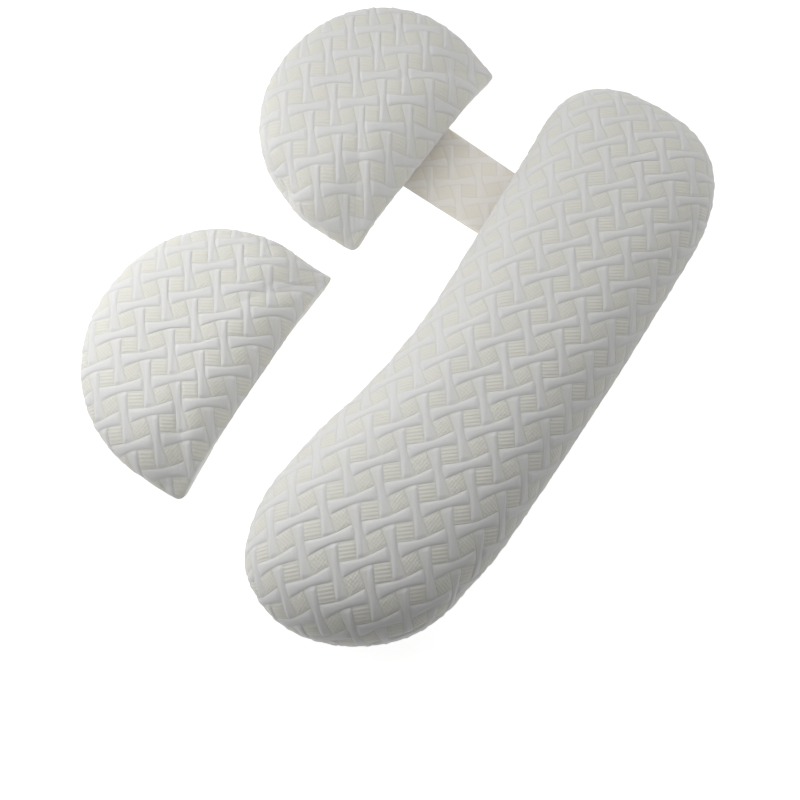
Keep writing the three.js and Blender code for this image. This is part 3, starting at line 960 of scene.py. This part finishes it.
def cloth_material(cloth):
    """Jacquard knit: smooth pale puffs, and hollows with a fine structure, with painted shade along the
    creases and a painted highlight on the ribs and dots
    """
    material = bpy.data.materials.new(cloth["name"])
    material.use_nodes = True
    tree = material.node_tree
    shader = tree.nodes["Principled BSDF"]
    attribute = tree.nodes.new("ShaderNodeAttribute")
    attribute.attribute_name = "cloth"
    split = tree.nodes.new("ShaderNodeSeparateXYZ")
    tree.links.new(attribute.outputs["Vector"], split.inputs[0])
    u, v = Wire(tree, split.outputs[0]), Wire(tree, split.outputs[1])
    in_hollow, crease, flange = weave_masks(u, v)
    texture = hollow_texture(u, v) * in_hollow.ramp(*EDGES["texture"])
    coordinates = tree.nodes.new("ShaderNodeTexCoord").outputs["Object"]
    cloudy = noise(tree, coordinates, CLOUD_SCALE, CLOUD_DETAIL)
    knit = noise(tree, coordinates, KNIT_SCALE, KNIT_DETAIL)

    hollow_share = (in_hollow + flange * TINTS["flange"]).math("MINIMUM", 1)
    # Painted highlight: the raised ribs and dots are made lighter, patchily with the cloudy noise
    highlight_share = texture * TINTS["texture"] * (cloudy * CLOUD_SPREAD + CLOUD_LOW)
    shade = colour_mix(tree, hollow_share, cloth["puff"], cloth["hollow"])
    # Painted shade: the colour darkens along the creases beside the puffs
    shade = colour_mix(tree, crease * TINTS["crease"], shade, darker(cloth["hollow"], CREASE_PAINTED_SHADE))
    shade = colour_mix(tree, highlight_share, shade, RIB_AND_DOT_HIGHLIGHT)
    knit_share = (knit - 0.5) * TINTS["knit"] + KNIT_SHARE
    shade = colour_mix(tree, knit_share, shade, darker(cloth["puff"], KNIT_DARK))
    tree.links.new(shade, shader.inputs["Base Color"])
    shader.inputs["Roughness"].default_value = ROUGHNESS
    shader.inputs["Specular IOR Level"].default_value = SPECULAR
    shader.inputs["Sheen Weight"].default_value = SHEEN
    shader.inputs["Sheen Roughness"].default_value = SHEEN_ROUGHNESS

    raised = texture * BUMPS["texture"] - crease * BUMPS["crease"]
    height = (raised + knit * BUMPS["knit"] + cloudy * BUMPS["cloudy"]) * cloth["bump"]
    bump = tree.nodes.new("ShaderNodeBump")
    bump.inputs["Strength"].default_value = BUMP_STRENGTH
    bump.inputs["Distance"].default_value = MM
    tree.links.new(height.socket, bump.inputs["Height"])
    tree.links.new(bump.outputs[0], shader.inputs["Normal"])
    return material


def dress(piece, node, material):
    """Let a piece with its material stand for a node of the frame"""
    piece.data.materials.append(material)
    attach(piece, "root")
    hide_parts(node)


def look_at(thing, at, aim):
    thing.location = Vector(at) * MM
    thing.rotation_mode = "QUATERNION"
    thing.rotation_quaternion = (Vector(aim) - Vector(at)).to_track_quat("-Z", "Y")


def area_light(name, at, aim, size, power):
    light = bpy.data.lights.new(name, "AREA")
    light.shape = "SQUARE"
    light.size = size * MM
    light.energy = power
    lamp = bpy.data.objects.new(name, light)
    bpy.context.scene.collection.objects.link(lamp)
    look_at(lamp, at, aim)


def floor_material():
    """Pale studio floor that glows a little, as an overexposed backdrop does"""
    material = bpy.data.materials.new("studio_floor")
    material.use_nodes = True
    shader = material.node_tree.nodes["Principled BSDF"]
    shader.inputs["Base Color"].default_value = (*FLOOR_COLOUR, 1)
    shader.inputs["Roughness"].default_value = 1
    shader.inputs["Specular IOR Level"].default_value = 0
    shader.inputs["Emission Color"].default_value = (1, 1, 1, 1)
    shader.inputs["Emission Strength"].default_value = FLOOR_GLOW
    return material


def studio():
    """Pale floor, softboxes and faint light from all round"""
    bpy.ops.mesh.primitive_plane_add(size=FLOOR_SIZE * MM, location=(0, 0, -FLOOR_DROP * MM))
    floor = bpy.context.object
    floor.name = "studio_floor"
    floor.data.materials.append(floor_material())

    for name, azimuth, elevation, distance, power in LIGHTS:
        around, above = math.radians(azimuth), math.radians(elevation)
        level = math.cos(above)
        away = Vector((math.cos(around) * level, math.sin(around) * level, math.sin(above)))
        area_light(name, Vector(LIT_AT) + away * distance, LIT_AT, LIGHT_SIZE, power)

    world = bpy.data.worlds.new("studio")
    world.use_nodes = True
    background = world.node_tree.nodes["Background"]
    background.inputs["Color"].default_value = (*WORLD_COLOUR, 1)
    background.inputs["Strength"].default_value = WORLD_STRENGTH
    bpy.context.scene.world = world
    bpy.context.scene.view_settings.view_transform = "Standard"


def camera():
    """Camera where the photograph's was"""
    data = bpy.data.cameras.new("camera")
    data.lens = LENS
    data.sensor_width = SENSOR
    seen_from = bpy.data.objects.new("camera", data)
    bpy.context.scene.collection.objects.link(seen_from)
    look_at(seen_from, CAMERA_AT, CAMERA_AIM)
    bpy.context.scene.camera = seen_from


white_cloth = cloth_material(WHITE_CLOTH)
warm_cloth = cloth_material(WARM_CLOTH)

for shape, cushion in ((LONG, long_pillow()), (BACK, half_round(BACK)), (LOOSE, half_round(LOOSE))):
    piece = cushion_mesh(cushion)
    dress(piece, shape["name"], white_cloth)

strap = strap_mesh()
dress(strap, "strap", warm_cloth)

studio()
camera()
